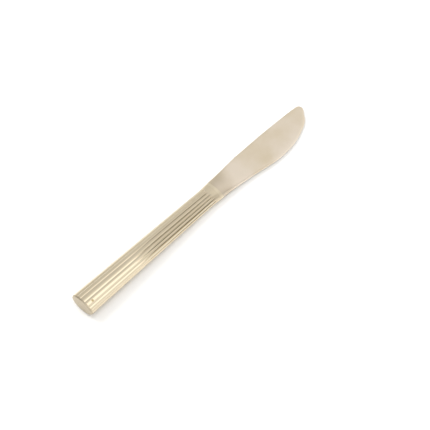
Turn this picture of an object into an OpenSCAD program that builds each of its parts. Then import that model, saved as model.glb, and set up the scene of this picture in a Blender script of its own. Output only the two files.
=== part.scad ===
// Table knife with a hollow reeded handle, in millimetres.
// The knife is drawn along X with its butt face at x = 0, its spine toward +Y and its
// middle plane at z = 0. Then it is laid down as it rests on a table, on the underside
// of its butt and on its collar, and the origin is under the middle of its box.

/* [Knife] */
// Length from the butt face to the tip of the blade
overall_len = 225; // [190:1:260]
// Length from the butt face to the front of the collar, where the blade starts
handle_len = 132.5; // [110:0.5:145]

/* [Handle] */
// Width of the handle at the butt
butt_w = 19.7; // [17:0.1:23]
// Thickness of the handle at the butt
butt_t = 12.7; // [11:0.1:15]
// Width of the handle at its neck, the narrowest place
neck_w = 15; // [14:0.1:17]
// Thickness of the handle at its neck
neck_t = 6.3; // [5:0.1:7.5]
// Distance from the front of the collar back to the neck
neck_back = 10; // [7:0.5:16]
// Width of the collar's mouth, where the blade's shoulder seats
mouth_w = 16.1; // [15:0.1:19]
// Thickness of the collar's mouth
mouth_t = 6; // [5:0.1:7.5]

/* [Reeds] */
// Number of reeds on each half of the handle, counting the two halves at its seams as one
reeds = 6; // [4:1:10]
// Depth of the grooves between the reeds at the butt
reed_depth = 0.5; // [0.3:0.05:0.6]
// Depth of the grooves at the neck
reed_depth_neck = 0.38; // [0.2:0.02:0.45]
// How flat the reeds are on top: 2 is a round arc, more is flatter
reed_power = 3; // [2:0.25:4]
// Length over which the grooves run out in front of the neck
reed_fade = 7.5; // [5:0.5:12]

/* [Shells] */
// Wall of the pressed half shells under the grooves
shell_wall = 0.6; // [0.4:0.05:0.7]
// Clearance between a piece and what it is fitted into
fit_gap = 0.05; // [0.03:0.01:0.08]

/* [Butt cap] */
// Thickness of the end plate
cap_t = 1.2; // [0.9:0.1:2]
// Radius of the end plate's rounded rim
cap_round = 0.8; // [0.4:0.05:0.85]
// Distance of the end plate's side inside the crests of the reeds
cap_inset = 0.2; // [0.1:0.05:0.4]
// Length of the step that locates the end plate inside the shells
cap_step = 2; // [1:0.1:4]

/* [Collar] */
// Length of the plain band in front of the shells
collar_band = 2.2; // [1.6:0.1:5]
// Length of the spigot inside the shells
collar_spigot = 5; // [3:0.1:9]
// Width of the edge break on the band
collar_break = 0.25; // [0.1:0.05:0.4]

/* [Blade] */
// Greatest height of the blade, from its spine to its edge
blade_h = 23; // [20:0.1:26]
// Thickness of the forged shoulder
shoulder_t = 5.5; // [4.5:0.1:6.2]
// Thickness of the spine in the middle of the blade
spine_t = 2.2; // [1.8:0.1:3]
// Thickness of the cutting edge
edge_t = 0.5; // [0.4:0.05:1]
// Width of the ground bevel beside the cutting edge
bevel_w = 1.8; // [1:0.1:3]

/* [Tang] */
// Length of the tang inside the handle
tang_len = 50; // [30:1:60]
// Width of the tang
tang_w = 7.5; // [5:0.1:8.5]
// Thickness of the tang
tang_t = 2; // [1.6:0.1:2.2]
// Depth of the notches that key the tang in its cement
notch_depth = 1.2; // [0.6:0.1:1.6]
// Length of each notch
notch_len = 5; // [3:0.5:6]
// Length of cement behind the end of the tang
cement_over = 6; // [3:0.5:12]

/* [Vent] */
// Diameter of the soldered vent pin
vent_d = 1.8; // [1:0.1:2.2]
// Distance of the vent pin from the butt face
vent_x = 6.2; // [5:0.1:12]
// Height of the vent pin's head above the shell
vent_head = 0.12; // [0.08:0.01:0.2]

/* [Hidden] */

// Segments across one reed, and steps of the arc table of a quarter ellipse
reed_segs = 8;
arc_steps = 30;
// Segments of the smooth ovals, a whole turn
oval_segs = 64;
// Overrun of the cuts
over = 1;

neck_x = handle_len - neck_back;
shell_front = handle_len - collar_band;
blade_len = overall_len - handle_len;
tang_end = handle_len - tang_len;
cement_end = tang_end - cement_over;
spigot_end = shell_front - collar_spigot;
// The shells' inner wall lies this far inside the crests
inner_inset = reed_depth + shell_wall;

// Stations of the shells: where they bend or where the grooves run out, as shares
// of the length from the neck to the front of the shells
front_shares = [0, 0.1, 0.22, 0.36, 0.5, 0.64, 0.78, 0.9, 1];
// Stations behind the neck, as shares of the length from the cap to the neck
rear_shares = [0, 0.35, 0.7, 0.93];

// Where along the half oval the vent pin sits: a little below the crest of a reed
vent_share = (floor(reeds * 0.7) + 0.12) / reeds;

// The blade's outline and thickness. Each row holds: distance from the shoulder as a
// share of the blade's length, spine and edge as shares of its height from the axis,
// spine thickness from 1, the forged shoulder, to 0, the plain blade, and then the
// share of the plain spine thickness that is left toward the tip.
blade_shares = [
    [0.000,  0.343, -0.337, 1.00, 1.00],
    [0.030,  0.345, -0.340, 0.97, 1.00],
    [0.080,  0.350, -0.352, 0.72, 1.00],
    [0.130,  0.362, -0.374, 0.36, 1.00],
    [0.200,  0.384, -0.406, 0.06, 1.00],
    [0.300,  0.405, -0.450, 0.00, 0.98],
    [0.400,  0.407, -0.515, 0.00, 0.94],
    [0.500,  0.408, -0.575, 0.00, 0.88],
    [0.570,  0.409, -0.591, 0.00, 0.83],
    [0.640,  0.402, -0.580, 0.00, 0.77],
    [0.720,  0.393, -0.543, 0.00, 0.70],
    [0.790,  0.386, -0.467, 0.00, 0.63],
    [0.850,  0.376, -0.371, 0.00, 0.58],
    [0.900,  0.367, -0.278, 0.00, 0.54],
    [0.940,  0.357, -0.154, 0.00, 0.50],
    [0.970,  0.344, -0.002, 0.00, 0.48],
    [0.988,  0.318,  0.080, 0.00, 0.46],
    [1.000,  0.245,  0.165, 0.00, 0.44]
];
// Steps between two rows
row_steps = 2;
// How far round the shoulder's oval goes at its ends, where 1 closes it
oval_share = 0.94;

function mix(a, b, u) = a + (b - a) * u;
function limit(u) = max(0, min(1, u));
function ease(u) = let (v = limit(u)) v * v * (3 - 2 * v);
function unit(v) = v / norm(v);

// Half width, half thickness and groove depth of the handle at x
function flare(x) = ease((x - neck_x) / neck_back);
function half_w(x) = (mix(butt_w, neck_w, min(x / neck_x, 1)) + (mouth_w - neck_w) * flare(x)) / 2;
function half_t(x) = (mix(butt_t, neck_t, min(x / neck_x, 1)) + (mouth_t - neck_t) * flare(x)) / 2;
function groove(x) =
    mix(reed_depth, reed_depth_neck, min(x / neck_x, 1))
    * (1 - ease((x - shell_front + reed_fade) / reed_fade));

// Table of arc length against angle for a quarter of an ellipse
function arc_table(a, b) =
    let (
        step = 90 / arc_steps,
        seg = [for (i = [1 : arc_steps])
            norm([a * (cos(i * step) - cos((i - 1) * step)),
                  b * (sin(i * step) - sin((i - 1) * step))])]
    )
    [for (s = 0, i = 0; i <= arc_steps; s = s + (i < arc_steps ? seg[i] : 0), i = i + 1)
        [s, i * step]];

// Angle at a share of the half oval's arc, from +Y over the top to -Y
function arc_angle(table, u) =
    let (quarter = table[arc_steps][0], v = u <= 0.5 ? u : 1 - u, t = lookup(2 * v * quarter, table))
    u <= 0.5 ? t : 180 - t;

// Point of an oval at angle t, moved inward by inset along the normal
function oval_point(a, b, t, inset) =
    let (n = unit([b * cos(t), a * sin(t)]))
    [a * cos(t) - n[0] * inset, b * sin(t) - n[1] * inset];

// Half oval at x with its grooves: each reed is a flattened arc between two sharp grooves,
// and the seam runs along the crests of the reeds at both sides
function reeded_half(x) =
    let (
        a = half_w(x),
        b = half_t(x),
        table = arc_table(a, b),
        count = reeds * reed_segs,
        depth = groove(x)
    )
    [for (j = [0 : count])
        let (
            u = j / count,
            across = ((j + reed_segs / 2) % reed_segs) / reed_segs,
            p = oval_point(a, b, arc_angle(table, u), depth * pow(abs(2 * across - 1), reed_power))
        )
        [x, p[0], j == 0 || j == count ? 0 : p[1]]];

// Plain half oval at x, inset all round
function plain_half(x, inset, count) =
    let (a = half_w(x) - inset, b = half_t(x) - inset, table = arc_table(a, b))
    [for (j = [0 : count])
        let (t = arc_angle(table, j / count))
        [x, a * cos(t), j == 0 || j == count ? 0 : b * sin(t)]];

function backward(list) = [for (i = [len(list) - 1 : -1 : 0]) list[i]];

// Whole oval at x, inset all round
function plain_oval(x, inset) =
    let (half = oval_segs / 2, top = plain_half(x, inset, half))
    concat(
        [for (j = [0 : half - 1]) top[j]],
        [for (j = [half : -1 : 1]) [x, top[j][1], -top[j][2]]]
    );

// Solid through a row of rings with the same number of points, closed at both ends.
// A ring that runs out along a wall and back again is closed by strips across the wall.
module loft(rings, wall = false) {
    n = len(rings[0]);
    m = len(rings);
    last = (m - 1) * n;
    near = wall
        ? [for (j = [0 : n / 2 - 2]) each [[j, j + 1, n - 1 - j], [j + 1, n - 2 - j, n - 1 - j]]]
        : [[for (j = [0 : n - 1]) j]];
    polyhedron(
        points = [for (r = rings) each r],
        faces = concat(
            near,
            [for (f = near) [for (v = backward(f)) last + v]],
            [for (i = [0 : m - 2]) for (j = [0 : n - 1])
                let (k = (j + 1) % n, a = i * n + j, b = i * n + k)
                each [[a, a + n, b], [b, a + n, b + n]]]
        ),
        convexity = 8
    );
}

// Resting pose: the lowest crest under the butt and the collar's mouth touch the table
mouth_x = handle_len - collar_break;
crest_t = arc_angle(arc_table(half_w(cap_t), half_t(cap_t)), 0.5 - (reeds % 2) * 0.5 / reeds);
butt_low = half_t(cap_t) * sin(crest_t);
rest_tilt = atan((butt_low - half_t(mouth_x)) / (mouth_x - cap_t));
edge_low = min([for (r = blade_shares) r[2]]) * blade_h;
box_mid_x = overall_len * cos(rest_tilt) / 2;
box_mid_y = (butt_w / 2 + edge_low) / 2;
rest_lift = butt_low * cos(rest_tilt) + cap_t * sin(rest_tilt);

module at_rest() {
    translate([-box_mid_x, -box_mid_y, rest_lift])
        rotate([0, rest_tilt, 0])
            children();
}

// Stations of the shells along X
function shell_stations() = concat(
    [for (s = rear_shares) mix(cap_t, neck_x, s)],
    [for (s = front_shares) mix(neck_x, shell_front, s)]
);

// One pressed half of the handle, above the seam plane
module half_shell() {
    count = reeds * reed_segs;
    loft([for (x = shell_stations())
        concat(reeded_half(x), backward(plain_half(x, inner_inset, count)))], wall = true);
}

// Axis of the vent pin: out through the wall beside the crest of a reed
vent_a = half_w(vent_x);
vent_b = half_t(vent_x);
vent_t = arc_angle(arc_table(vent_a, vent_b), vent_share);
vent_out = unit([vent_b * cos(vent_t), vent_a * sin(vent_t)]);

module on_vent_axis() {
    translate([vent_x, vent_a * cos(vent_t), vent_b * sin(vent_t)])
        rotate([atan2(-vent_out[0], vent_out[1]), 0, 0])
            children();
}

module handle_shell_upper() {
    color("#d9c79b")
        at_rest()
            difference() {
                half_shell();
                on_vent_axis()
                    translate([0, 0, -inner_inset - over])
                        cylinder(h = inner_inset + 2 * over, d = vent_d, $fn = 32);
            }
}

module handle_shell_lower() {
    color("#d9c79b")
        at_rest()
            mirror([0, 0, 1])
                half_shell();
}

// Pin soldered into the vent hole, with a low domed head
module vent_plug() {
    r = vent_d / 2 - fit_gap;
    color("#b8995c")
        at_rest()
            on_vent_axis()
                rotate_extrude($fn = 32)
                    polygon([
                        [0, -inner_inset],
                        [r, -inner_inset],
                        [r, 0],
                        [r * 0.7, vent_head * 0.7],
                        [0, vent_head]
                    ]);
}

// End plate with a rounded rim and a step inside the shells
module butt_cap() {
    color("#cbb78c")
        at_rest()
            union() {
                loft(cap_rings());
                loft([for (x = [cap_t - cap_lap, cap_t + cap_step])
                    plain_oval(x, inner_inset + fit_gap)]);
            }
}

// Rings of the end plate, from its flat face round the rim to its back
cap_lap = cap_t / 4;
function cap_rings() = concat(
    [for (q = [90 : -22.5 : 0])
        plain_oval(cap_round * (1 - sin(q)), cap_inset + cap_round * (1 - cos(q)))],
    [plain_oval(cap_t, cap_inset)]
);

// Tang from its end to x_front, with notches on both sides
module tang_bar(x_front, gap) {
    difference() {
        translate([tang_end - gap, -tang_w / 2 - gap, -tang_t / 2 - gap])
            cube([x_front - tang_end + gap, tang_w + 2 * gap, tang_t + 2 * gap]);
        for (side = [-1, 1])
            for (k = [1, 2])
                translate([tang_end + (2 * k - 0.5) * notch_len + gap, 0, -tang_t])
                    linear_extrude(height = 2 * tang_t)
                        polygon([
                            [0, side * (tang_w / 2 + over)],
                            [0, side * (tang_w / 2 - notch_depth + gap)],
                            [notch_len - 2 * gap, side * (tang_w / 2 - notch_depth + gap)],
                            [notch_len - 2 * gap, side * (tang_w / 2 + over)]
                        ]);
    }
}

// Plain band with a spigot inside the shells and a slot for the tang
module front_collar() {
    color("#e2d3ac")
        at_rest()
            difference() {
                union() {
                    loft([
                        plain_oval(shell_front, collar_break),
                        for (s = [0, 0.25, 0.5, 0.75, 1])
                            plain_oval(mix(shell_front + collar_break, handle_len - collar_break, s), 0),
                        plain_oval(handle_len, collar_break)
                    ]);
                    loft([for (s = [0, 0.5, 1])
                        plain_oval(mix(spigot_end, shell_front + collar_break, s), inner_inset + fit_gap)]);
                }
                translate([spigot_end - over, -tang_w / 2 - fit_gap, -tang_t / 2 - fit_gap])
                    cube([handle_len - spigot_end + 2 * over, tang_w + 2 * fit_gap, tang_t + 2 * fit_gap]);
            }
}

// Cement that holds the tang, filling the shells behind the spigot
module tang_cement() {
    xs = concat([cement_end], [for (x = shell_stations()) if (x > cement_end && x < spigot_end) x], [spigot_end]);
    color("#9c968c")
        at_rest()
            difference() {
                loft([for (x = xs) plain_oval(x, inner_inset + fit_gap)]);
                tang_bar(spigot_end + over, 0);
            }
}

// Smooth curve through the rows of a table at place i + u, by Catmull and Rom
function row_at(rows, i, u) =
    let (
        n = len(rows) - 1,
        p0 = rows[max(i - 1, 0)],
        p1 = rows[i],
        p2 = rows[min(i + 1, n)],
        p3 = rows[min(i + 2, n)]
    )
    (2 * p1 + (p2 - p0) * u + (2 * p0 - 5 * p1 + 4 * p2 - p3) * u * u
        + (3 * p1 - p0 - 3 * p2 + p3) * u * u * u) / 2;

// Section of the blade: rounded spine, slightly swelled sides and a bevel to the edge.
// At the forged shoulder it is an oval that follows the collar.
function blade_ring(row) =
    let (
        x = handle_len + row[0] * blade_len,
        top = row[1] * blade_h,
        low = row[2] * blade_h,
        high = top - low,
        ts = mix(spine_t * row[4], shoulder_t, row[3]) / 2,
        te = mix(ts * 0.92, ts, row[3]),
        edge = mix(edge_t / 2, ts * 0.55, row[3]),
        crown = min(2 * ts, high / 4),
        bevel = min(bevel_w, high / 4),
        side = [
            [top, ts * 0.5],
            [top - crown * 0.16, ts * 0.86],
            [top - crown * 0.45, ts],
            [top - high * 0.3, mix(ts, te, 0.18)],
            [top - high * 0.6, mix(ts, te, 0.5)],
            [low + bevel, mix(ts, te, 1)],
            [low + bevel * 0.35, mix(edge, te, 0.6)],
            [low, edge]
        ]
    )
    let (round = [for (p = side)
        let (y = p[0] / (p[0] > 0 ? top : low))
        [p[0], mix(p[1], ts * sqrt(1 - oval_share * y * y), row[3])]])
    concat(
        [for (p = round) [x, p[0], p[1]]],
        [for (p = backward(round)) [x, p[0], -p[1]]]
    );

// Blade, forged shoulder and tang in one piece
module blade() {
    last = len(blade_shares) - 2;
    rows = concat(
        [for (i = [0 : last]) for (k = [0 : row_steps - 1]) row_at(blade_shares, i, k / row_steps)],
        [blade_shares[last + 1]]
    );
    color("#e0cba8")
        at_rest()
            union() {
                loft([for (r = rows) blade_ring(r)]);
                tang_bar(handle_len + over, 0);
            }
}

blade();
front_collar();
handle_shell_upper();
handle_shell_lower();
butt_cap();
tang_cement();
vent_plug();
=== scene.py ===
"""Table knife with a hollow reeded handle, lying on a pale table in soft studio light.

All lengths are in metres and the knife is drawn in its own frame, with the butt face at
x = 0, the spine toward +Y and the middle plane at z = 0. Each finished piece is then laid
down into the resting pose, so its object stays at the origin with its place in its mesh.
"""

import logging
import math
from dataclasses import dataclass, field
from enum import Enum
from typing import ClassVar, Sequence

import bmesh
import bpy
from mathutils import Matrix, Vector


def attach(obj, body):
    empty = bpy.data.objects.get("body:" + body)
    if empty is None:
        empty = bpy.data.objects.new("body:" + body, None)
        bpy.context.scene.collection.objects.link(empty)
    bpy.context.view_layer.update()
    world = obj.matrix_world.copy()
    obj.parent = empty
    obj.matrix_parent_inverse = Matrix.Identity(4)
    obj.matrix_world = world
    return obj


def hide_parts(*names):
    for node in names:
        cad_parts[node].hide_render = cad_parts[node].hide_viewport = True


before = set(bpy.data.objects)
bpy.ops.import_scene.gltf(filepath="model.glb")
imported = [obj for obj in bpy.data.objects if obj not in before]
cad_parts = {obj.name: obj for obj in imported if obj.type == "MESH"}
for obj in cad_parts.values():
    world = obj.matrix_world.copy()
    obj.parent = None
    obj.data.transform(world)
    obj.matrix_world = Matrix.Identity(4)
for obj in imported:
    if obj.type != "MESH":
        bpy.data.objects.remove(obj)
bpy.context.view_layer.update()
LOG = logging.getLogger("table_knife")
MM = 0.001
QUARTER_TURN = math.pi / 2
FULL_TURN = 2 * math.pi

Ring = list[Vector]
Span = tuple[float, float]
Place = tuple[float, float, float]
Colour = tuple[float, float, float]
Socket = tuple[bpy.types.Node, str | int]
Wire = tuple[Socket, Socket]


def mix(a: float, b: float, share: float) -> float:
    """Return the value a share of the way from a to b."""
    return a + (b - a) * share


def ease(share: float) -> float:
    """Return a share from 0 to 1 with soft ends."""
    s = min(max(share, 0.0), 1.0)
    return s * s * (3.0 - 2.0 * s)


def quarter_round(radius: float, steps: int) -> list[Span]:
    """Lay out a rounded rim.

    Args:
        radius: Radius of the rim's quarter circle.
        steps: How many steps it is drawn in.

    Returns:
        The distance behind the end face and inside the side, from the face to the side.
    """
    turns = [QUARTER_TURN * i / steps for i in range(steps + 1)]
    return [(radius * (1 - math.sin(t)), radius * (1 - math.cos(t))) for t in reversed(turns)]


class Side(Enum):
    """The two halves of the handle, as the sign of Z."""

    UPPER = 1.0
    LOWER = -1.0


class Grain(Enum):
    """How the fine lines of a finish run, as scale factors along X, Y and Z."""

    ALONG = (0.05, 1.0, 1.0)
    ACROSS = (1.0, 0.06, 1.0)
    EVEN = (1.0, 1.0, 1.0)


class Look(Enum):
    """The finishes of the gold pieces, by the names of their materials."""

    POLISHED = "polished_gold_steel"
    BAND = "collar_gold_steel"
    # The plate's material is a darker copy of the gold steel: painted shade for the end face.
    PLATE = "cap_gold_steel"
    SATIN = "satin_gold_steel"
    SOLDER = "vent_solder"


@dataclass(frozen=True)
class KnifeSizes:
    """Named sizes of the knife, the same as those of its construction."""

    overall_len: float = 225.0 * MM
    handle_len: float = 132.5 * MM
    butt_w: float = 19.7 * MM
    butt_t: float = 12.7 * MM
    neck_w: float = 15.0 * MM
    neck_t: float = 6.3 * MM
    neck_back: float = 10.0 * MM
    mouth_w: float = 16.1 * MM
    mouth_t: float = 6.0 * MM
    reeds: int = 6
    reed_depth: float = 0.5 * MM
    reed_depth_neck: float = 0.38 * MM
    reed_power: float = 3.0
    reed_fade: float = 7.5 * MM
    shell_wall: float = 0.6 * MM
    cap_t: float = 1.2 * MM
    cap_round: float = 0.8 * MM
    cap_inset: float = 0.2 * MM
    collar_band: float = 2.2 * MM
    collar_break: float = 0.25 * MM
    blade_h: float = 23.0 * MM
    shoulder_t: float = 5.5 * MM
    spine_t: float = 2.2 * MM
    edge_t: float = 0.5 * MM
    bevel_w: float = 1.8 * MM
    vent_d: float = 1.8 * MM
    vent_x: float = 6.2 * MM
    vent_head: float = 0.12 * MM

    @property
    def neck_x(self) -> float:
        """Return the place of the neck along the handle."""
        return self.handle_len - self.neck_back

    @property
    def shell_front(self) -> float:
        """Return the front end of the pressed shells."""
        return self.handle_len - self.collar_band

    def taper(self, at_butt: float, at_neck: float, x: float) -> float:
        """Return the value at x that changes evenly from the butt to the neck."""
        return mix(at_butt, at_neck, min(x / self.neck_x, 1.0))

    def flare(self, x: float) -> float:
        """Return how far the mouth has opened at x, from 0 to 1."""
        return ease((x - self.neck_x) / self.neck_back)

    def half_w(self, x: float) -> float:
        """Return half the handle's width at x."""
        width = self.taper(self.butt_w, self.neck_w, x)
        return (width + (self.mouth_w - self.neck_w) * self.flare(x)) / 2.0

    def half_t(self, x: float) -> float:
        """Return half the handle's thickness at x."""
        thickness = self.taper(self.butt_t, self.neck_t, x)
        return (thickness + (self.mouth_t - self.neck_t) * self.flare(x)) / 2.0

    def groove(self, x: float) -> float:
        """Return the depth of the grooves at x."""
        depth = self.taper(self.reed_depth, self.reed_depth_neck, x)
        return depth * (1.0 - ease((x - self.shell_front + self.reed_fade) / self.reed_fade))


@dataclass(frozen=True)
class BladeRow:
    """One row of the blade's outline.

    Attributes:
        along: Share of the blade's length.
        spine: Height of the spine above the middle, as a share of the blade's height.
        edge: Height of the cutting edge, as the same share.
        forged: How much of the forged shoulder is left.
        left: How much of the spine's thickness is left.
    """

    along: float
    spine: float
    edge: float
    forged: float
    left: float


BLADE_ROWS: tuple[BladeRow, ...] = (
    BladeRow(0.000, 0.343, -0.337, 1.00, 1.00),
    BladeRow(0.030, 0.345, -0.340, 0.97, 1.00),
    BladeRow(0.080, 0.350, -0.352, 0.72, 1.00),
    BladeRow(0.130, 0.362, -0.374, 0.36, 1.00),
    BladeRow(0.200, 0.384, -0.406, 0.06, 1.00),
    BladeRow(0.300, 0.405, -0.450, 0.00, 0.98),
    BladeRow(0.400, 0.407, -0.515, 0.00, 0.94),
    BladeRow(0.500, 0.408, -0.575, 0.00, 0.88),
    BladeRow(0.570, 0.409, -0.591, 0.00, 0.83),
    BladeRow(0.640, 0.402, -0.580, 0.00, 0.77),
    BladeRow(0.720, 0.393, -0.543, 0.00, 0.70),
    BladeRow(0.790, 0.386, -0.467, 0.00, 0.63),
    BladeRow(0.850, 0.376, -0.371, 0.00, 0.58),
    BladeRow(0.900, 0.367, -0.278, 0.00, 0.54),
    BladeRow(0.940, 0.357, -0.154, 0.00, 0.50),
    BladeRow(0.970, 0.344, -0.002, 0.00, 0.48),
    BladeRow(0.988, 0.318, 0.080, 0.00, 0.46),
    BladeRow(1.000, 0.245, 0.165, 0.00, 0.44),
)


class Oval:
    """An ellipse that is walked by equal lengths of its rim."""

    STEPS = 240

    def __init__(self, half_w: float, half_t: float) -> None:
        """Measure the rim of a quarter.

        Args:
            half_w: Half axis along Y.
            half_t: Half axis along Z.
        """
        self.half_w, self.half_t = half_w, half_t
        self.walked: list[float] = [0.0]
        for i in range(1, self.STEPS + 1):
            t0, t1 = (QUARTER_TURN * k / self.STEPS for k in (i - 1, i))
            along_y = half_w * (math.cos(t1) - math.cos(t0))
            along_z = half_t * (math.sin(t1) - math.sin(t0))
            self.walked.append(self.walked[-1] + math.hypot(along_y, along_z))

    def _quarter_angle(self, share: float) -> float:
        """Return the angle at a share of the first quarter's rim."""
        want = share * self.walked[-1]
        low, high = 0, self.STEPS
        while high - low > 1:
            mid = (low + high) // 2
            low, high = (mid, high) if self.walked[mid] <= want else (low, mid)
        span = self.walked[high] - self.walked[low]
        part = (want - self.walked[low]) / span if span else 0.0
        return QUARTER_TURN * (low + part) / self.STEPS

    def angle(self, share: float) -> float:
        """Return the angle at a share of the whole rim, counted from +Y over the top."""
        quarter, part = divmod((share % 1.0) * 4.0, 1.0)
        if int(quarter) % 2 == 0:
            return QUARTER_TURN * quarter + self._quarter_angle(part)
        return QUARTER_TURN * (quarter + 1) - self._quarter_angle(1.0 - part)

    def point(self, x: float, share: float, inset: float = 0.0) -> Vector:
        """Return a point of the rim, moved inward along its normal.

        Args:
            x: Place along the knife.
            share: Share of the whole rim.
            inset: Distance inside the rim.

        Returns:
            The point in the knife's frame.
        """
        t = self.angle(share)
        y, z = math.cos(t), math.sin(t)
        normal = Vector((0.0, self.half_t * y, self.half_w * z)).normalized()
        return Vector((x, self.half_w * y, self.half_t * z)) - normal * inset

    def ring(self, x: float, count: int, inset: float = 0.0) -> Ring:
        """Return points at equal lengths round the whole rim.

        Args:
            x: Place along the knife.
            count: How many points.
            inset: Distance inside the rim.

        Returns:
            The points in order.
        """
        return [self.point(x, j / count, inset) for j in range(count)]


class Skin:
    """A mesh drawn by extruding one ring or chain of edges through a row of stations."""

    def __init__(self, first: Ring, closed: bool = True) -> None:
        """Start the skin.

        Args:
            first: The first station's points, in order.
            closed: Whether the points close into a ring.
        """
        self.mesh = bmesh.new()
        self.closed = closed
        made = bmesh.ops.create_circle(self.mesh, segments=len(first), radius=1.0)["verts"]
        self.row: list[bmesh.types.BMVert] = list(made)
        if not closed:
            spare = self.mesh.edges.get((self.row[-1], self.row[0]))
            bmesh.ops.delete(self.mesh, geom=[spare], context="EDGES_FACES")
        self.start = list(self.row)
        self._place(first)

    def _place(self, points: Ring) -> None:
        """Move the current row of vertices to a station's points."""
        for vert, point in zip(self.row, points, strict=True):
            vert.co = point

    def _edges(self, row: list[bmesh.types.BMVert]) -> list[bmesh.types.BMEdge]:
        """Return the edges that join a row's neighbours."""
        ends = list(zip(row, row[1:])) + ([(row[-1], row[0])] if self.closed else [])
        return [self.mesh.edges.get(pair) for pair in ends]

    def extend(self, points: Ring) -> None:
        """Extrude the last row to the next station.

        Args:
            points: The station's points, as many as the first had.
        """
        made = bmesh.ops.extrude_edge_only(self.mesh, edges=self._edges(self.row))["geom"]
        fresh = {g for g in made if isinstance(g, bmesh.types.BMVert)}
        self.row = [
            next(e.other_vert(v) for e in v.link_edges if e.other_vert(v) in fresh)
            for v in self.row
        ]
        self._place(points)

    def cap(self) -> None:
        """Close both ends with one face each."""
        for row in (self.start, self.row):
            bmesh.ops.contextual_create(self.mesh, geom=self._edges(row))

    def face_out(self) -> None:
        """Turn every face outward."""
        bmesh.ops.recalc_face_normals(self.mesh, faces=self.mesh.faces[:])


def loft(stations: Sequence[Ring]) -> bmesh.types.BMesh:
    """Draw a closed solid through rings of points.

    Args:
        stations: Rings with the same number of points, in order.

    Returns:
        The solid, with a face across each end.
    """
    skin = Skin(stations[0])
    for ring in stations[1:]:
        skin.extend(ring)
    skin.cap()
    skin.face_out()
    return skin.mesh


def add_object(
    name: str, mesh: bmesh.types.BMesh, material: bpy.types.Material
) -> bpy.types.Object:
    """Put a finished mesh into the scene.

    Args:
        name: Name of the object and of its mesh.
        mesh: The mesh, which is freed.
        material: Its finish.

    Returns:
        The object, at the origin.
    """
    data = bpy.data.meshes.new(name)
    mesh.to_mesh(data)
    mesh.free()
    data.materials.append(material)
    made = bpy.data.objects.new(name, data)
    bpy.context.scene.collection.objects.link(made)
    return made


@dataclass(frozen=True)
class RestPose:
    """The knife lying on the table, on the underside of its butt and of its collar."""

    sizes: KnifeSizes

    def _butt_drop(self) -> float:
        """Return how far the lowest crest at the butt lies below the knife's middle.

        With an even number of reeds that crest is in the middle of the half shell, and with
        an odd number it is the one beside the middle.
        """
        s = self.sizes
        half_t = s.half_t(s.cap_t)
        crest = 0.25 - (s.reeds % 2) * 0.25 / s.reeds
        return half_t * math.sin(Oval(s.half_w(s.cap_t), half_t).angle(crest))

    def matrix(self) -> Matrix:
        """Return the turn and shift from the knife's own frame to the table's."""
        s = self.sizes
        low = self._butt_drop()
        mouth_x = s.handle_len - s.collar_break
        tilt = math.atan((low - s.half_t(mouth_x)) / (mouth_x - s.cap_t))
        edge = min(row.edge for row in BLADE_ROWS) * s.blade_h
        back = -s.overall_len * math.cos(tilt) / 2.0
        aside = -(s.butt_w / 2.0 + edge) / 2.0
        lift = low * math.cos(tilt) + s.cap_t * math.sin(tilt)
        return Matrix.Translation((back, aside, lift)) @ Matrix.Rotation(tilt, 4, "Y")


class Workbench:
    """Turns finished meshes into pieces of the knife."""

    def __init__(self, pose: RestPose) -> None:
        """Keep the resting pose for every piece."""
        self.rest = pose.matrix()

    def finish(
        self,
        name: str,
        mesh: bmesh.types.BMesh,
        material: bpy.types.Material,
        slot: str,
        nodes: Sequence[str],
        sharp_deg: float = 28.0,
    ) -> None:
        """Lay a mesh down as it rests and make it a piece.

        Args:
            name: Name of the piece.
            mesh: The mesh, in the knife's own frame.
            material: Its finish.
            slot: The record's material slot. Not used.
            nodes: Construction nodes that the piece stands for.
            sharp_deg: Edges that turn by more than this stay sharp.
        """
        bmesh.ops.transform(mesh, matrix=self.rest, verts=mesh.verts[:])
        piece = add_object(name, mesh, material)
        data = piece.data
        data.polygons.foreach_set("use_smooth", [True] * len(data.polygons))
        data.set_sharp_from_angle(angle=math.radians(sharp_deg))
        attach(piece, "root")
        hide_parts(*nodes)
        LOG.info("%s: %d faces", name, len(data.polygons))


def add_node(
    tree: bpy.types.NodeTree,
    kind: str,
    sockets: dict[str | int, float | Sequence[float]] | None = None,
    **settings: object,
) -> bpy.types.Node:
    """Add a node to a tree.

    Args:
        tree: The tree.
        kind: The node's type.
        sockets: Values of its input sockets.
        **settings: The node's own settings, made before the sockets are.

    Returns:
        The node.
    """
    node = tree.nodes.new(kind)
    for key, setting in settings.items():
        setattr(node, key, setting)
    for key, value in (sockets or {}).items():
        node.inputs[key].default_value = value
    return node


def join(tree: bpy.types.NodeTree, *wires: Wire) -> None:
    """Join an output socket to an input socket for each wire."""
    for (source, out), (target, into) in wires:
        tree.links.new(source.outputs[out], target.inputs[into])


def opaque(colour: Colour) -> tuple[float, float, float, float]:
    """Return a colour with full alpha, as a colour socket takes it."""
    return (*colour, 1.0)


def add_tone(tree: bpy.types.NodeTree, deep: Colour, light: Colour) -> bpy.types.Node:
    """Add a mix of two colours, the deep one at 0 and the light one at 1."""
    ends = {"A": opaque(deep), "B": opaque(light)}
    return add_node(tree, "ShaderNodeMix", ends, data_type="RGBA")


def new_material(name: str) -> tuple[bpy.types.Material, bpy.types.NodeTree, bpy.types.Node]:
    """Return a new node material, its tree and its Principled shader."""
    material = bpy.data.materials.new(name)
    material.use_nodes = True
    tree = material.node_tree
    return material, tree, tree.nodes["Principled BSDF"]


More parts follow.
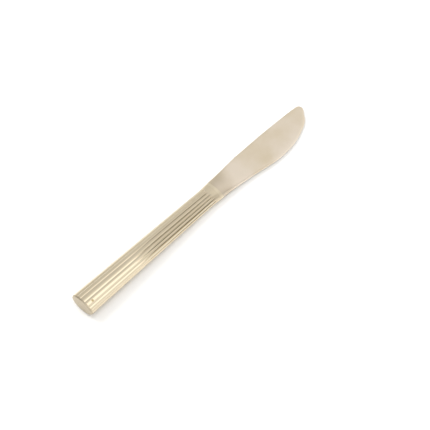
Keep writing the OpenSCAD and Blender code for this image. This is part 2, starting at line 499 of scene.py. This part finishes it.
class ShaderKit:
    """Node groups that several finishes share."""

    def __init__(self) -> None:
        """Build each group once."""
        self.brushing = self._brushing()
        self.mottling = self._mottling()

    @staticmethod
    def _group(name: str, inputs: dict[str, float], output: str) -> bpy.types.NodeTree:
        """Return a new group that takes a place and numbers and puts out one number."""
        tree = bpy.data.node_groups.new(name, "ShaderNodeTree")
        tree.interface.new_socket("Place", in_out="INPUT", socket_type="NodeSocketVector")
        for label, value in inputs.items():
            made = tree.interface.new_socket(label, in_out="INPUT", socket_type="NodeSocketFloat")
            made.default_value = value
        tree.interface.new_socket(output, in_out="OUTPUT", socket_type="NodeSocketFloat")
        return tree

    def _brushing(self) -> bpy.types.NodeTree:
        """Return fine polishing lines as a height, with slow changes in their depth."""
        tree = self._group("polishing_lines", {"Scale": 900.0}, "Lines")
        start = add_node(tree, "NodeGroupInput")
        fine = add_node(tree, "ShaderNodeTexNoise", {"Detail": 3.0, "Roughness": 0.65})
        slow = add_node(tree, "ShaderNodeTexNoise", {"Scale": 60.0, "Detail": 2.0})
        both = add_node(tree, "ShaderNodeMath", operation="MULTIPLY")
        end = add_node(tree, "NodeGroupOutput")
        join(
            tree,
            ((start, "Place"), (fine, "Vector")),
            ((start, "Place"), (slow, "Vector")),
            ((start, "Scale"), (fine, "Scale")),
            ((fine, "Fac"), (both, 0)),
            ((slow, "Fac"), (both, 1)),
            ((both, 0), (end, "Lines")),
        )
        return tree

    def _mottling(self) -> bpy.types.NodeTree:
        """Return soft clouds from 0 to 1, as a coating shows them."""
        middle = 0.5
        tree = self._group("coating_clouds", {"Scale": 45.0, "Contrast": 1.0}, "Clouds")
        start = add_node(tree, "NodeGroupInput")
        cloud = add_node(tree, "ShaderNodeTexNoise", {"Detail": 4.0, "Roughness": 0.5})
        centre = add_node(tree, "ShaderNodeMath", {1: middle}, operation="SUBTRACT")
        swing = add_node(
            tree, "ShaderNodeMath", {2: middle}, operation="MULTIPLY_ADD", use_clamp=True
        )
        end = add_node(tree, "NodeGroupOutput")
        join(
            tree,
            ((start, "Place"), (cloud, "Vector")),
            ((start, "Scale"), (cloud, "Scale")),
            ((cloud, "Fac"), (centre, 0)),
            ((centre, 0), (swing, 0)),
            ((start, "Contrast"), (swing, 1)),
            ((swing, 0), (end, "Clouds")),
        )
        return tree


@dataclass(frozen=True)
class GoldSteelFinish:
    """Champagne gold coating on stainless steel, and the gold solder beside it.

    Attributes:
        look: Which finish it is.
        light: Colour in the lightest clouds.
        deep: Colour in the deepest clouds.
        rough: Roughness in the deepest and in the lightest clouds.
        grain: How the fine lines run.
        line_scale: How close the fine lines lie.
        bump: How strongly the fine lines stand out.
        cloud_scale: How small the clouds are.
        cloud_contrast: How hard the clouds are.
        film_and_shade_colour: Colour of the polishing film and painted shade laid into the
            grooves, and of the painted shade on the dull part.
        groove_film_and_shade_share: How much of the polishing film and painted shade shows in the
            grooves.
        dull_and_shade_span: Places on the table's X where the dull part, with any painted shade,
            is full and where it ends.
        dull_painted_shade_share: How much painted shade, in the film's colour, shows on the dull
            part.
        dull_rough: Roughness of the dull part.
    """

    look: Look
    light: Colour
    deep: Colour
    rough: Span
    grain: Grain
    line_scale: float
    bump: float
    cloud_scale: float
    cloud_contrast: float = 1.8
    film_and_shade_colour: Colour = (0.30, 0.23, 0.14)
    groove_film_and_shade_share: float = 0.0
    dull_and_shade_span: Span | None = None
    dull_painted_shade_share: float = 0.0
    dull_rough: float = 0.34
    LINE_HEIGHT: ClassVar[float] = 0.02 * MM

    def _brush(
        self, tree: bpy.types.NodeTree, place: Socket, skin: bpy.types.Node, kit: ShaderKit
    ) -> None:
        """Raise the fine lines of the finish.

        Args:
            tree: The material's tree.
            place: Where the surface's places come from.
            skin: The material's shader.
            kit: The shared node groups.
        """
        stretch = add_node(tree, "ShaderNodeMapping", {"Scale": self.grain.value})
        lines = add_node(
            tree, "ShaderNodeGroup", {"Scale": self.line_scale}, node_tree=kit.brushing
        )
        relief = add_node(
            tree, "ShaderNodeBump", {"Strength": self.bump, "Distance": self.LINE_HEIGHT}
        )
        join(
            tree,
            (place, (stretch, "Vector")),
            ((stretch, "Vector"), (lines, "Place")),
            ((lines, "Lines"), (relief, "Height")),
            ((relief, "Normal"), (skin, "Normal")),
        )

    def _dull_and_shade_mask(self, tree: bpy.types.NodeTree, place: Socket) -> Socket:
        """Return the mask of the dull part with its painted shade, 1 where it is full and 0 past
        its end.
        """
        full, end = self.dull_and_shade_span
        split = add_node(tree, "ShaderNodeSeparateXYZ")
        mask = add_node(
            tree,
            "ShaderNodeMapRange",
            {"From Min": full, "From Max": end, "To Min": 1.0, "To Max": 0.0},
            interpolation_type="SMOOTHSTEP",
        )
        join(tree, (place, (split, "Vector")), ((split, "X"), (mask, "Value")))
        return mask, "Result"

    def _film_and_shade_mask(self, tree: bpy.types.NodeTree, dull_and_shade: Socket | None) -> Socket | None:
        """Return how much painted shade shows: with the polishing film in the grooves, or else
        alone on the dull part.
        """
        if self.groove_film_and_shade_share > 0.0:
            groove_film_and_shade = add_node(tree, "ShaderNodeAttribute", attribute_name="groove")
            mask, share = (groove_film_and_shade, "Fac"), self.groove_film_and_shade_share
        elif dull_and_shade is not None and self.dull_painted_shade_share > 0.0:
            mask, share = dull_and_shade, self.dull_painted_shade_share
        else:
            return None
        scaled = add_node(tree, "ShaderNodeMath", {1: share}, operation="MULTIPLY")
        join(tree, (mask, (scaled, 0)))
        return scaled, 0

    def _colour(self, tree: bpy.types.NodeTree, clouds: Socket, film_and_shade: Socket | None) -> Socket:
        """Return the coating's colour, with the polishing film and painted shade over it if there
        are any.
        """
        tone = add_tone(tree, self.deep, self.light)
        join(tree, (clouds, (tone, "Factor")))
        if film_and_shade is None:
            return tone, "Result"
        film_and_shade_mix = add_node(tree, "ShaderNodeMix", {"B": opaque(self.film_and_shade_colour)}, data_type="RGBA")
        join(tree, (film_and_shade, (film_and_shade_mix, "Factor")), ((tone, "Result"), (film_and_shade_mix, "A")))
        return film_and_shade_mix, "Result"

    def _roughness(self, tree: bpy.types.NodeTree, clouds: Socket, dull_and_shade: Socket | None) -> Socket:
        """Return the roughness, which follows the clouds and rises on the dull part."""
        low, high = self.rough
        even = add_node(tree, "ShaderNodeMapRange", {"To Min": low, "To Max": high})
        join(tree, (clouds, (even, "Value")))
        if dull_and_shade is None:
            return even, "Result"
        matt = add_node(tree, "ShaderNodeMix", {"B": self.dull_rough})
        join(tree, (dull_and_shade, (matt, "Factor")), ((even, "Result"), (matt, "A")))
        return matt, "Result"

    def build(self, kit: ShaderKit) -> bpy.types.Material:
        """Make the material.

        Args:
            kit: The shared node groups.

        Returns:
            A node material on Object coordinates.
        """
        material, tree, skin = new_material(self.look.value)
        skin.inputs["Metallic"].default_value = 1.0
        place = (add_node(tree, "ShaderNodeTexCoord"), "Object")
        mottling = add_node(
            tree,
            "ShaderNodeGroup",
            {"Scale": self.cloud_scale, "Contrast": self.cloud_contrast},
            node_tree=kit.mottling,
        )
        clouds = (mottling, "Clouds")
        join(tree, (place, (mottling, "Place")))
        self._brush(tree, place, skin, kit)
        dull_and_shade = self._dull_and_shade_mask(tree, place) if self.dull_and_shade_span else None
        film_and_shade = self._film_and_shade_mask(tree, dull_and_shade)
        join(
            tree,
            (self._colour(tree, clouds, film_and_shade), (skin, "Base Color")),
            (self._roughness(tree, clouds, dull_and_shade), (skin, "Roughness")),
        )
        return material


@dataclass(frozen=True)
class CementFinish:
    """Dull grey filling that holds the tang."""

    name: str = "tang_cement_finish"
    light: Colour = (0.48, 0.45, 0.40)
    deep: Colour = (0.30, 0.28, 0.25)
    rough: float = 0.9
    grit_scale: float = 700.0
    grit_contrast: float = 2.5
    grit_strength: float = 0.4
    grit_height: float = 0.1 * MM

    def build(self, kit: ShaderKit) -> bpy.types.Material:
        """Make the material.

        Args:
            kit: The shared node groups.

        Returns:
            A node material on Object coordinates.
        """
        material, tree, skin = new_material(self.name)
        skin.inputs["Roughness"].default_value = self.rough
        coords = add_node(tree, "ShaderNodeTexCoord")
        grit = add_node(
            tree,
            "ShaderNodeGroup",
            {"Scale": self.grit_scale, "Contrast": self.grit_contrast},
            node_tree=kit.mottling,
        )
        tone = add_tone(tree, self.deep, self.light)
        relief = add_node(
            tree, "ShaderNodeBump", {"Strength": self.grit_strength, "Distance": self.grit_height}
        )
        join(
            tree,
            ((coords, "Object"), (grit, "Place")),
            ((grit, "Clouds"), (tone, "Factor")),
            ((grit, "Clouds"), (relief, "Height")),
            ((tone, "Result"), (skin, "Base Color")),
            ((relief, "Normal"), (skin, "Normal")),
        )
        return material


@dataclass(frozen=True)
class PaperFinish:
    """Pale matt paper of the table top."""

    name: str = "table_paper"
    light: Colour = (0.92, 0.92, 0.915)
    deep: Colour = (0.90, 0.90, 0.895)
    rough: float = 0.95
    specular: float = 0.1
    fibre_scale: float = 30.0

    def build(self) -> bpy.types.Material:
        """Return a node material on Object coordinates."""
        material, tree, skin = new_material(self.name)
        skin.inputs["Roughness"].default_value = self.rough
        skin.inputs["Specular IOR Level"].default_value = self.specular
        coords = add_node(tree, "ShaderNodeTexCoord")
        fibre = add_node(tree, "ShaderNodeTexNoise", {"Scale": self.fibre_scale})
        tone = add_tone(tree, self.deep, self.light)
        join(
            tree,
            ((coords, "Object"), (fibre, "Vector")),
            ((fibre, "Fac"), (tone, "Factor")),
            ((tone, "Result"), (skin, "Base Color")),
        )
        return material


@dataclass
class ReededHandle:
    """The two pressed half shells of the handle.

    Attributes:
        sizes: The knife's sizes.
        reed_segments: Steps across one reed.
        valley: Where the reed's flank turns into the rolled groove, from crest to groove.
        groove_film_and_shade_power: How closely the film of polishing keeps to the groove.
        rear_stations: Stations on the straight taper.
        front_stations: Stations from the neck to the front.
        stations: Places of all stations.
    """

    sizes: KnifeSizes
    reed_segments: int = 32
    valley: float = 0.92
    # groove_film_and_shade_power: How closely the polishing film and painted shade keep to the
    # groove.
    groove_film_and_shade_power: int = 8
    rear_stations: int = 14
    front_stations: int = 26
    stations: list[float] = field(init=False)

    def __post_init__(self) -> None:
        """Lay out the stations: few on the straight taper, many where the reeds run out."""
        s, rear, front = self.sizes, self.rear_stations, self.front_stations
        self.stations = [mix(s.cap_t, s.neck_x, i / rear) for i in range(rear)]
        self.stations += [mix(s.neck_x, s.shell_front, i / front) for i in range(front + 1)]

    def _off_crest(self, j: int) -> float:
        """Return how far point j of a profile lies from its reed's crest, 1 in a groove."""
        across = ((j + self.reed_segments // 2) % self.reed_segments) / self.reed_segments
        return abs(2.0 * across - 1.0)

    def _drop(self, v: float) -> float:
        """Return the depth below the crest as a share, v of the way to a rolled groove."""
        power, edge = self.sizes.reed_power, self.valley
        if v <= edge:
            return v**power
        slope = power * edge ** (power - 1.0)
        past = v - edge
        return edge**power + slope * past - slope / (2.0 * (1.0 - edge)) * past**2

    def _profile(self, x: float, side: Side) -> Ring:
        """Return one half's reeded outline at x, from the spine side over to the edge side."""
        s = self.sizes
        oval = Oval(s.half_w(x), s.half_t(x))
        count = s.reeds * self.reed_segments
        points: Ring = []
        for j in range(count + 1):
            depth = s.groove(x) * self._drop(self._off_crest(j))
            point = oval.point(x, 0.5 * j / count, depth)
            if j in (0, count):
                point.z = 0.0
            points.append(Vector((point.x, point.y, point.z * side.value)))
        return points

    def _mark_grooves(self, skin: Skin) -> None:
        """Store how deep in a groove each vertex lies, for the polishing film and painted shade
        in the grooves.
        """
        layer = skin.mesh.verts.layers.float.new("groove")
        count = self.sizes.reeds * self.reed_segments + 1
        skin.mesh.verts.index_update()
        for vert in skin.mesh.verts:
            fade = self.sizes.groove(vert.co.x) / self.sizes.reed_depth
            groove_film_and_shade = self._off_crest(vert.index % count) ** self.groove_film_and_shade_power
            vert[layer] = min(1.0, groove_film_and_shade * fade)

    def build(self, side: Side) -> bmesh.types.BMesh:
        """Draw one half as a pressed sheet with its wall.

        Args:
            side: Which half.

        Returns:
            The half shell in the knife's own frame.
        """
        skin = Skin(self._profile(self.stations[0], side), closed=False)
        for x in self.stations[1:]:
            skin.extend(self._profile(x, side))
        self._mark_grooves(skin)
        skin.face_out()
        middle = skin.mesh.faces[len(skin.mesh.faces) // 2]
        if middle.normal.dot(middle.calc_center_median() * Vector((0.0, 1.0, 1.0))) < 0.0:
            bmesh.ops.reverse_faces(skin.mesh, faces=skin.mesh.faces[:])
        bmesh.ops.solidify(skin.mesh, geom=skin.mesh.faces[:], thickness=self.sizes.shell_wall)
        return skin.mesh

    def dress(self, bench: Workbench, finish: bpy.types.Material) -> None:
        """Make both half shells pieces of the knife."""
        upper, lower = self.build(Side.UPPER), self.build(Side.LOWER)
        bench.finish("shell_upper", upper, finish, "handle_steel", ["handle_shell_upper"])
        bench.finish("shell_lower", lower, finish, "handle_steel", ["handle_shell_lower"])


@dataclass
class FrontCollar:
    """The plain band between the shells and the blade."""

    sizes: KnifeSizes
    segments: int = 192
    rim_steps: int = 5
    band_steps: int = 10

    def build(self) -> bmesh.types.BMesh:
        """Return the band with softly broken edges."""
        s = self.sizes
        rim = quarter_round(s.collar_break, self.rim_steps)
        back, front = s.shell_front, s.handle_len
        low, high = back + s.collar_break, front - s.collar_break
        places = [(back + x, inset) for x, inset in rim]
        places += [(mix(low, high, i / self.band_steps), 0.0) for i in range(1, self.band_steps)]
        places += [(front - x, inset) for x, inset in reversed(rim)]
        return loft(
            [Oval(s.half_w(x), s.half_t(x)).ring(x, self.segments, inset) for x, inset in places]
        )

    def dress(self, bench: Workbench, finish: bpy.types.Material) -> None:
        """Make the band a piece of the knife."""
        bench.finish("collar_band", self.build(), finish, "handle_steel", ["front_collar"])


@dataclass
class ButtCap:
    """The oval end plate with its rounded rim."""

    sizes: KnifeSizes
    segments: int = 192
    rim_steps: int = 8

    def build(self) -> bmesh.types.BMesh:
        """Return the plate, flat outside and closed inside the shells."""
        s = self.sizes
        rim = quarter_round(s.cap_round, self.rim_steps)
        places = [(x, s.cap_inset + inset) for x, inset in rim] + [(s.cap_t, s.cap_inset)]
        return loft(
            [
                Oval(s.half_w(x) - inset, s.half_t(x) - inset).ring(x, self.segments)
                for x, inset in places
            ]
        )

    def dress(self, bench: Workbench, finish: bpy.types.Material) -> None:
        """Make the plate a piece of the knife."""
        bench.finish("end_plate", self.build(), finish, "cap_steel", ["butt_cap"])


@dataclass
class VentPin:
    """The soldered pin in the vent hole near the butt.

    Attributes:
        sizes: The knife's sizes.
        reed: Place on the upper shell, counted in reeds from the spine.
        segments: Steps round the pin.
        root_share: Radius inside the wall as a share of the pin's radius.
        dome: Angles of the rows of the domed head, in radians.
    """

    sizes: KnifeSizes
    reed: float = 4.12
    segments: int = 32
    root_share: float = 0.98
    dome: tuple[float, ...] = (0.35, 0.7, 1.0, 1.25, 1.45)

    def axis(self) -> tuple[Vector, Vector]:
        """Return the pin's place on the shell and its direction outward."""
        s = self.sizes
        oval = Oval(s.half_w(s.vent_x), s.half_t(s.vent_x))
        share = 0.5 * self.reed / s.reeds
        base = oval.point(s.vent_x, share)
        return base, (base - oval.point(s.vent_x, share, s.shell_wall)).normalized()

    def build(self) -> bmesh.types.BMesh:
        """Return the pin with its low domed head."""
        s = self.sizes
        base, out = self.axis()
        turn = out.to_track_quat("Z", "X").to_matrix().to_4x4()
        profile = [(-s.shell_wall, self.root_share), (0.0, 1.0)]
        profile += [(s.vent_head * math.sin(a), math.cos(a)) for a in self.dome]
        spokes = [FULL_TURN * j / self.segments for j in range(self.segments)]
        rings: list[Ring] = []
        for height, share in profile:
            arm = s.vent_d / 2.0 * share
            local = [Vector((arm * math.cos(t), arm * math.sin(t), height)) for t in spokes]
            rings.append([base + turn @ point for point in local])
        return loft(rings)

    def dress(self, bench: Workbench, finish: bpy.types.Material) -> None:
        """Make the pin a piece of the knife."""
        bench.finish("vent_pin", self.build(), finish, "solder", ["vent_plug"])


@dataclass
class Blade:
    """The blade with its forged shoulder.

    Attributes:
        sizes: The knife's sizes.
        row_steps: Steps between two rows of the outline.
        side_steps: Steps between two corners of a section.
        oval_share: How much of an oval the shoulder's section is.
        low_share: Thickness above the bevel as a share of the spine's.
        forged_edge: Thickness of the edge at the shoulder, as the same share.
        round_limit: Largest height of the rounded spine or of the bevel in a section.
        sharp_deg: Edges that turn by more than this stay sharp.
    """

    sizes: KnifeSizes
    row_steps: int = 6
    side_steps: int = 4
    oval_share: float = 0.94
    low_share: float = 0.92
    forged_edge: float = 0.55
    round_limit: float = 0.25
    sharp_deg: float = 40.0

    CROWN: ClassVar[tuple[Span, ...]] = ((0.0, 0.5), (0.16, 0.86), (0.45, 1.0))
    FLANK: ClassVar[tuple[Span, ...]] = ((0.3, 0.18), (0.6, 0.5))
    BEVEL: ClassVar[tuple[Span, ...]] = ((1.0, 1.0), (0.35, 0.6), (0.0, 0.0))

    @staticmethod
    def _curve(points: Sequence[Vector], i: int, u: float, closed: bool) -> Vector:
        """Return a point of the smooth curve through points, u of the way past point i."""
        n = len(points)
        near = [k % n if closed else min(max(k, 0), n - 1) for k in range(i - 1, i + 3)]
        a, b, c, d = (points[k] for k in near)
        bend = 2 * a - 5 * b + 4 * c - d
        twist = 3 * b - a - 3 * c + d
        return (2 * b + (c - a) * u + bend * u * u + twist * u**3) / 2

    def _rows(self) -> list[BladeRow]:
        """Return the outline's rows, filled in smoothly."""
        table = [Vector((r.along, r.spine, r.edge, r.forged)) for r in BLADE_ROWS]
        left = [Vector((r.left, 0.0, 0.0)) for r in BLADE_ROWS]
        rows: list[BladeRow] = []
        for i in range(len(table) - 1):
            for k in range(self.row_steps):
                u = k / self.row_steps
                at = self._curve(table, i, u, False)
                rows.append(BladeRow(*at, self._curve(left, i, u, False).x))
        rows.append(BLADE_ROWS[-1])
        return rows

    def _half_section(self, row: BladeRow) -> list[Span]:
        """Return height and half thickness from the spine to the edge at a row."""
        s = self.sizes
        top, low = row.spine * s.blade_h, row.edge * s.blade_h
        high = top - low
        spine = mix(s.spine_t * row.left, s.shoulder_t, row.forged) / 2
        flat = mix(spine * self.low_share, spine, row.forged)
        edge = mix(s.edge_t / 2, spine * self.forged_edge, row.forged)
        crown, bevel = (min(h, high * self.round_limit) for h in (2 * spine, s.bevel_w))
        side = [(top - crown * down, spine * share) for down, share in self.CROWN]
        side += [(top - high * down, mix(spine, flat, share)) for down, share in self.FLANK]
        side += [(low + bevel * up, mix(edge, flat, share)) for up, share in self.BEVEL]
        for i, (y, z) in enumerate(side):
            out = y / (top if y > 0.0 else low)
            oval = spine * math.sqrt(1.0 - self.oval_share * out * out)
            side[i] = (y, mix(z, oval, row.forged))
        return side

    def _ring(self, row: BladeRow) -> Ring:
        """Return the whole section at a row: down one side and up the other."""
        s = self.sizes
        x = s.handle_len + row.along * (s.overall_len - s.handle_len)
        side = self._half_section(row)
        corners = [Vector((x, y, z)) for y, z in side]
        corners += [Vector((x, y, -z)) for y, z in reversed(side)]
        ring: Ring = []
        for i in range(len(corners)):
            for k in range(self.side_steps):
                ring.append(self._curve(corners, i, k / self.side_steps, True))
        return ring

    def build(self) -> bmesh.types.BMesh:
        """Return the blade in the knife's own frame."""
        return loft([self._ring(row) for row in self._rows()])

    def dress(self, bench: Workbench, finish: bpy.types.Material) -> None:
        """Make the blade a piece of the knife."""
        mesh = self.build()
        bench.finish("knife_blade", mesh, finish, "blade_steel", ["blade"], self.sharp_deg)


@dataclass(frozen=True)
class Card:
    """A card in the room, pale or dark, that only polished metal mirrors.

    Attributes:
        name: Name of the card.
        leans_deg: Lean toward the cutting edge of the facets that mirror its two long sides.
        places: Places on the table's X of the facets that mirror its two ends.
        strength: How bright it is.
        tint: Its colour.
    """

    name: str
    leans_deg: Span
    places: Span
    strength: float
    tint: Colour

    def finish(self) -> bpy.types.Material:
        """Return the card's plain glow."""
        material, tree, skin = new_material(self.name)
        tree.nodes.remove(skin)
        glow = add_node(
            tree, "ShaderNodeEmission", {"Color": opaque(self.tint), "Strength": self.strength}
        )
        join(tree, ((glow, "Emission"), (tree.nodes["Material Output"], "Surface")))
        return material

    def hang(self, corners: Sequence[Vector]) -> None:
        """Hang the card by its four corners."""
        mesh = bmesh.new()
        made = bmesh.ops.create_circle(mesh, segments=4, radius=1.0, cap_ends=True)["verts"]
        for vert, corner in zip(made, corners, strict=True):
            vert.co = corner
        card = add_object(self.name, mesh, self.finish())
        card.visible_camera = card.visible_diffuse = card.visible_shadow = False


@dataclass(frozen=True)
class Lamp:
    """A square soft lamp that points at the knife and isn't mirrored in it."""

    name: str
    place: Place
    size: float
    watts: float
    colour: Colour

    def hang(self) -> None:
        """Hang the lamp in its place."""
        place = Vector(self.place)
        data = bpy.data.lights.new(self.name, "AREA")
        data.shape, data.size = "SQUARE", self.size
        data.energy, data.color = self.watts, self.colour
        lamp = bpy.data.objects.new(self.name, data)
        lamp.location = place
        lamp.rotation_mode = "QUATERNION"
        lamp.rotation_quaternion = (-place).to_track_quat("-Z", "Y")
        lamp.visible_camera = lamp.visible_glossy = False
        bpy.context.scene.collection.objects.link(lamp)


@dataclass(frozen=True)
class Studio:
    """Pale table, soft light, the cards and the camera.

    Attributes:
        azimuth_deg: Camera's turn round Z, 0 when it looks along +Y.
        elevation_deg: Camera's height above the table as an angle.
        distance: Distance from the camera to the knife.
        lens_mm: Focal length.
        sensor_mm: Width of the sensor.
        clip: Nearest and farthest distance that the camera sees.
        pixels_per_metre: Scale of the picture at the knife.
        aim_px: How far the camera is moved to the right and up, in pixels.
        table_half: Half the length of the table's sides.
        room_pale: Colour of the room on the camera's side and above.
        room_dim: Colour of the room on the far side.
        room_turn: How far along +Y a direction points where the dimming starts and ends.
        room_strength: How bright the room is.
        facet_height: Height of the facets that mirror the cards.
        reach: Distance from the facets to the cards.
    """

    azimuth_deg: float = 45.6
    elevation_deg: float = 60.0
    distance: float = 2.5
    lens_mm: float = 297.89
    sensor_mm: float = 36.0
    clip: Span = (0.05, 50.0)
    pixels_per_metre: float = 1423.2
    aim_px: Span = (17.11, -3.79)
    table_half: float = 3.0
    room_pale: Colour = (1.0, 0.99, 0.975)
    room_dim: Colour = (0.76, 0.753, 0.735)
    room_turn: Span = (0.24, 0.44)
    room_strength: float = 0.95
    facet_height: float = 8.0 * MM
    reach: float = 0.2

    LAMPS: ClassVar[tuple[Lamp, ...]] = (
        Lamp("key_lamp", (-0.15, 1.30, 0.86), 1.1, 18.0, (1.0, 0.985, 0.96)),
        Lamp("top_lamp", (0.0, -0.2, 1.8), 1.6, 7.0, (1.0, 1.0, 1.0)),
    )
    CARDS: ClassVar[tuple[Card, ...]] = (
        Card("near_card", (13.5, 36.0), (-0.049, -0.30), 1.46, (1.0, 1.0, 0.99)),
        Card("low_card", (36.0, 60.0), (-0.049, -0.30), 1.02, (1.0, 0.99, 0.96)),
        Card("crest_flag", (8.5, 13.5), (0.036, -0.030), 0.50, (1.0, 0.90, 0.72)),
        Card("top_flag", (17.3, 20.5), (0.042, -0.036), 0.03, (1.0, 0.88, 0.66)),
        Card("dark_flag", (20.5, 27.0), (0.040, -0.037), 0.03, (1.0, 0.86, 0.62)),
        Card("dim_flag", (27.0, 35.0), (0.022, -0.046), 0.58, (1.0, 0.90, 0.72)),
    )

    @property
    def ahead(self) -> Vector:
        """Return the direction in which the camera looks."""
        a, e = math.radians(self.azimuth_deg), math.radians(self.elevation_deg)
        return Vector((math.sin(a) * math.cos(e), math.cos(a) * math.cos(e), -math.sin(e)))

    def _table(self) -> None:
        """Make the table top."""
        mesh = bmesh.new()
        bmesh.ops.create_grid(mesh, x_segments=1, y_segments=1, size=self.table_half)
        add_object("table_top", mesh, PaperFinish().build())

    def _room(self) -> None:
        """Light the room: pale on the camera's side and above, dimmer on the far side."""
        world = bpy.data.worlds.new("studio_room")
        bpy.context.scene.world = world
        world.use_nodes = True
        tree = world.node_tree
        back = tree.nodes["Background"]
        back.inputs["Strength"].default_value = self.room_strength
        coords = add_node(tree, "ShaderNodeTexCoord")
        split = add_node(tree, "ShaderNodeSeparateXYZ")
        start, end = self.room_turn
        shift = add_node(tree, "ShaderNodeMapRange", {"From Min": start, "From Max": end})
        ramp = add_node(tree, "ShaderNodeValToRGB")
        steps = ramp.color_ramp
        steps.interpolation = "EASE"
        steps.elements[0].position, steps.elements[0].color = 0.0, opaque(self.room_pale)
        steps.elements[1].position, steps.elements[1].color = 1.0, opaque(self.room_dim)
        join(
            tree,
            ((coords, "Generated"), (split, "Vector")),
            ((split, "Y"), (shift, "Value")),
            ((shift, "Result"), (ramp, "Fac")),
            ((ramp, "Color"), (back, "Color")),
        )

    def _camera(self) -> None:
        """Set the camera at the photographed angle."""
        a = math.radians(self.azimuth_deg)
        ahead = self.ahead
        right = Vector((math.cos(a), -math.sin(a), 0.0))
        up = right.cross(ahead)
        aside, above = (px / self.pixels_per_metre for px in self.aim_px)
        data = bpy.data.cameras.new("camera")
        data.lens, data.sensor_width = self.lens_mm, self.sensor_mm
        data.clip_start, data.clip_end = self.clip
        camera = bpy.data.objects.new("camera", data)
        camera.rotation_mode = "QUATERNION"
        camera.rotation_quaternion = ahead.to_track_quat("-Z", "Y")
        camera.location = -ahead * self.distance + right * aside + up * above
        bpy.context.scene.collection.objects.link(camera)
        bpy.context.scene.camera = camera

    def _mirrored(self, lean_deg: float, x: float) -> Vector:
        """Return where the camera's ray goes after a facet mirrors it.

        Args:
            lean_deg: How far the facet leans toward the cutting edge.
            x: The facet's place along the table's X.

        Returns:
            The end of the mirrored ray.
        """
        lean = math.radians(lean_deg)
        facet = Vector((0.0, -math.sin(lean), math.cos(lean)))
        out = self.ahead - 2.0 * self.ahead.dot(facet) * facet
        return Vector((x, 0.0, self.facet_height)) + out * self.reach

    def build(self) -> None:
        """Set the table, the room, the camera, the lamps and the cards."""
        self._table()
        self._room()
        self._camera()
        for lamp in self.LAMPS:
            lamp.hang()
        for card in self.CARDS:
            near = [self._mirrored(lean, card.places[0]) for lean in card.leans_deg]
            far = [self._mirrored(lean, card.places[1]) for lean in reversed(card.leans_deg)]
            card.hang([*near, *far])


def gold_finishes(joint: float) -> tuple[GoldSteelFinish, ...]:
    """Describe the finishes of the gold pieces.

    Args:
        joint: Place on the table's X where the handle meets the blade.

    Returns:
        One finish for each look.
    """
    polished = GoldSteelFinish(
        Look.POLISHED,
        light=(0.80, 0.70, 0.53),
        deep=(0.76, 0.66, 0.49),
        rough=(0.08, 0.11),
        grain=Grain.ALONG,
        line_scale=2400.0,
        bump=0.2,
        cloud_scale=60.0,
        # The grooves are darkened partly by polishing film and partly by painted shade.
        groove_film_and_shade_share=0.12,
        dull_and_shade_span=(joint - 4.0 * MM, joint - 13.0 * MM),
    )
    band = GoldSteelFinish(
        Look.BAND,
        light=(0.84, 0.75, 0.58),
        deep=(0.80, 0.70, 0.53),
        rough=(0.3, 0.38),
        grain=Grain.ALONG,
        line_scale=2400.0,
        bump=0.3,
        cloud_scale=80.0,
    )
    # The plate's colours are a darker copy of the gold steel: painted shade for the end face.
    plate = GoldSteelFinish(
        Look.PLATE,
        light=(0.535, 0.47, 0.355),
        deep=(0.50, 0.43, 0.32),
        rough=(0.29, 0.36),
        grain=Grain.EVEN,
        line_scale=3000.0,
        bump=0.4,
        cloud_scale=160.0,
    )
    satin = GoldSteelFinish(
        Look.SATIN,
        light=(0.90, 0.80, 0.675),
        deep=(0.80, 0.69, 0.52),
        rough=(0.29, 0.35),
        grain=Grain.ACROSS,
        line_scale=1500.0,
        bump=0.08,
        cloud_scale=38.0,
        cloud_contrast=3.8,
        # Beside the joint the blade gets painted shade that stands in for a darker reflection,
        # and a rougher finish.
        dull_and_shade_span=(joint + 6.0 * MM, joint + 17.0 * MM),
        dull_painted_shade_share=0.22,
    )
    solder = GoldSteelFinish(
        Look.SOLDER,
        light=(0.60, 0.48, 0.28),
        deep=(0.50, 0.39, 0.21),
        rough=(0.4, 0.55),
        grain=Grain.EVEN,
        line_scale=4000.0,
        bump=0.5,
        cloud_scale=900.0,
    )
    return polished, band, plate, satin, solder


def main() -> None:
    """Build the knife and its studio."""
    logging.basicConfig(level=logging.INFO, format="%(name)s: %(message)s")
    scene = bpy.context.scene
    scene.view_settings.view_transform = "Standard"
    scene.view_settings.look = "None"
    sizes = KnifeSizes()
    bench = Workbench(RestPose(sizes))
    kit = ShaderKit()
    joint = sizes.handle_len - 0.5 * sizes.overall_len
    looks = {finish.look: finish.build(kit) for finish in gold_finishes(joint)}
    ReededHandle(sizes).dress(bench, looks[Look.POLISHED])
    FrontCollar(sizes).dress(bench, looks[Look.BAND])
    ButtCap(sizes).dress(bench, looks[Look.PLATE])
    VentPin(sizes).dress(bench, looks[Look.SOLDER])
    Blade(sizes).dress(bench, looks[Look.SATIN])
    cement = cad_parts["tang_cement"]
    cement.data.materials.clear()
    cement.data.materials.append(CementFinish().build(kit))
    Studio().build()


if __name__ == "__main__":
    main()
